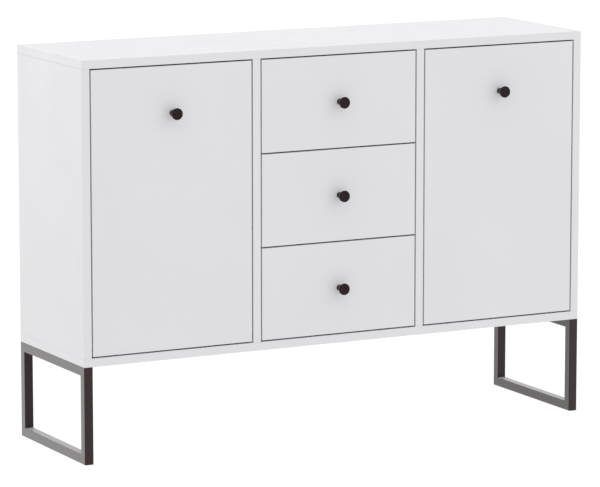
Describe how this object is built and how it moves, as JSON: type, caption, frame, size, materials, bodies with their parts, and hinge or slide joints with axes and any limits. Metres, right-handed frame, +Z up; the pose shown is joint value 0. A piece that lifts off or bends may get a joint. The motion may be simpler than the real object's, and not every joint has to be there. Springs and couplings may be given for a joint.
{
  "type": "sideboard buffet",
  "caption": "White sideboard with flush hinged doors at each end, a central stack of sliding drawers, round turned knobs and square-tube loop legs.",
  "frame": {"origin": "on the floor, at the centre of the whole object's footprint, knobs included", "axes": "+X to the right seen from the front, +Y to the back, +Z up; the fronts face -Y"},
  "size_m": [1.2, 0.355, 0.848],
  "materials": {
    "white_laminate": "white melamine laminate on particle board, fine satin texture",
    "white_hdf": "white-lacquered thin hardboard",
    "bronze_metal": "dark bronze-brown powder coat, semi-gloss",
    "zinc_steel": "bright zinc plate",
    "slide_steel": "zinc-plated rolled steel",
    "dowel_wood": "fluted beech",
    "white_plastic": "moulded white plastic"
  },
  "bodies": {
    "carcass": {"top_panel": "white_laminate", "bottom_panel": "white_laminate", "left_side_panel": "white_laminate", "right_side_panel": "white_laminate", "left_divider": "white_laminate", "right_divider": "white_laminate", "left_shelf": "white_laminate", "right_shelf": "white_laminate", "back_panel": "white_hdf", "back_panel_nails": "zinc_steel", "shelf_pins": "zinc_steel", "cam_bolts": "zinc_steel", "cam_locks": "zinc_steel", "carcass_screws": "zinc_steel", "hinge_arms": "zinc_steel", "hinge_mounting_plates": "zinc_steel", "slide_cabinet_members": "slide_steel", "dowels": "dowel_wood", "magnetic_catches": "white_plastic", "left_leg_frame": "bronze_metal", "right_leg_frame": "bronze_metal"},
    "left_door": {"left_door_panel": "white_laminate", "left_door_knob": "bronze_metal", "left_door_hinge_cups": "zinc_steel", "left_door_hinge_pins": "zinc_steel", "left_door_strike_plate": "zinc_steel", "left_door_screws": "zinc_steel"},
    "right_door": {"right_door_panel": "white_laminate", "right_door_knob": "bronze_metal", "right_door_hinge_cups": "zinc_steel", "right_door_hinge_pins": "zinc_steel", "right_door_strike_plate": "zinc_steel", "right_door_screws": "zinc_steel"},
    "drawer_1": {"drawer_1_front": "white_laminate", "drawer_1_left_side": "white_laminate", "drawer_1_right_side": "white_laminate", "drawer_1_back": "white_laminate", "drawer_1_bottom": "white_hdf", "drawer_1_knob": "bronze_metal", "drawer_1_fittings": "zinc_steel", "drawer_1_slide_drawer_members": "slide_steel"},
    "drawer_1_slide_middles": {"drawer_1_slide_middle_members": "slide_steel"},
    "drawer_2": {"drawer_2_front": "white_laminate", "drawer_2_left_side": "white_laminate", "drawer_2_right_side": "white_laminate", "drawer_2_back": "white_laminate", "drawer_2_bottom": "white_hdf", "drawer_2_knob": "bronze_metal", "drawer_2_fittings": "zinc_steel", "drawer_2_slide_drawer_members": "slide_steel"},
    "drawer_2_slide_middles": {"drawer_2_slide_middle_members": "slide_steel"},
    "drawer_3": {"drawer_3_front": "white_laminate", "drawer_3_left_side": "white_laminate", "drawer_3_right_side": "white_laminate", "drawer_3_back": "white_laminate", "drawer_3_bottom": "white_hdf", "drawer_3_knob": "bronze_metal", "drawer_3_fittings": "zinc_steel", "drawer_3_slide_drawer_members": "slide_steel"},
    "drawer_3_slide_middles": {"drawer_3_slide_middle_members": "slide_steel"}
  },
  "joints": [
    {"name": "left_door_hinge", "type": "hinge", "parent": "carcass", "child": "left_door", "pos_m": [-0.551, -0.143, 0.5275], "axis": [0, 0, -1], "range_deg": [0, 95]},
    {"name": "right_door_hinge", "type": "hinge", "parent": "carcass", "child": "right_door", "pos_m": [0.551, -0.143, 0.5275], "axis": [0, 0, 1], "range_deg": [0, 95]},
    {"name": "drawer_1_slide", "type": "slide", "parent": "carcass", "child": "drawer_1", "axis": [0, -1, 0], "range_m": [0, 0.28]},
    {"name": "drawer_1_middle_slide", "type": "slide", "parent": "carcass", "child": "drawer_1_slide_middles", "axis": [0, -1, 0], "range_m": [0, 0.14]},
    {"name": "drawer_2_slide", "type": "slide", "parent": "carcass", "child": "drawer_2", "axis": [0, -1, 0], "range_m": [0, 0.28]},
    {"name": "drawer_2_middle_slide", "type": "slide", "parent": "carcass", "child": "drawer_2_slide_middles", "axis": [0, -1, 0], "range_m": [0, 0.14]},
    {"name": "drawer_3_slide", "type": "slide", "parent": "carcass", "child": "drawer_3", "axis": [0, -1, 0], "range_m": [0, 0.28]},
    {"name": "drawer_3_middle_slide", "type": "slide", "parent": "carcass", "child": "drawer_3_slide_middles", "axis": [0, -1, 0], "range_m": [0, 0.14]}
  ],
  "couplings": [
    {"joint": "drawer_1_middle_slide", "follows": "drawer_1_slide", "ratio": 0.5},
    {"joint": "drawer_2_middle_slide", "follows": "drawer_2_slide", "ratio": 0.5},
    {"joint": "drawer_3_middle_slide", "follows": "drawer_3_slide", "ratio": 0.5}
  ]
}
